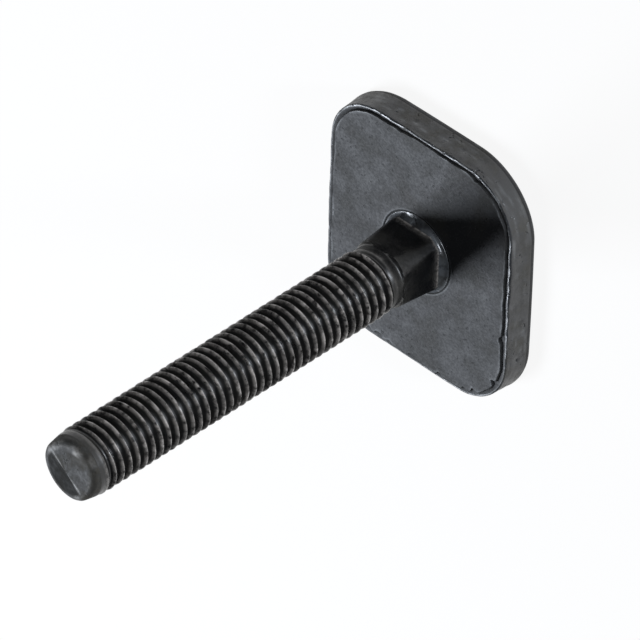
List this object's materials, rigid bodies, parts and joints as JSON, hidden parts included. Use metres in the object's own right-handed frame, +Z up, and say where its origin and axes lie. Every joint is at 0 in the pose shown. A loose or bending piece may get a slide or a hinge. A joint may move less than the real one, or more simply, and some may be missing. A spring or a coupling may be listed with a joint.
{
  "type": "t slot bolt",
  "caption": "Forged T slot bolt: a flat rectangular plate head with rounded corners, a square anti-rotation neck and a long threaded shank with a dished point.",
  "frame": {"origin": "on the shank's axis at the back face of the head, where the bolt stands", "axes": "+Z up the shank from the head to the point, +X across the head's shorter side, +Y along its longer side"},
  "size_m": [0.0428, 0.0488, 0.0858],
  "materials": {
    "black_steel": "black oxide over forged steel, satin with a fine scale texture"
  },
  "bodies": {
    "root": {"t_slot_bolt": "black_steel"}
  },
  "joints": []
}
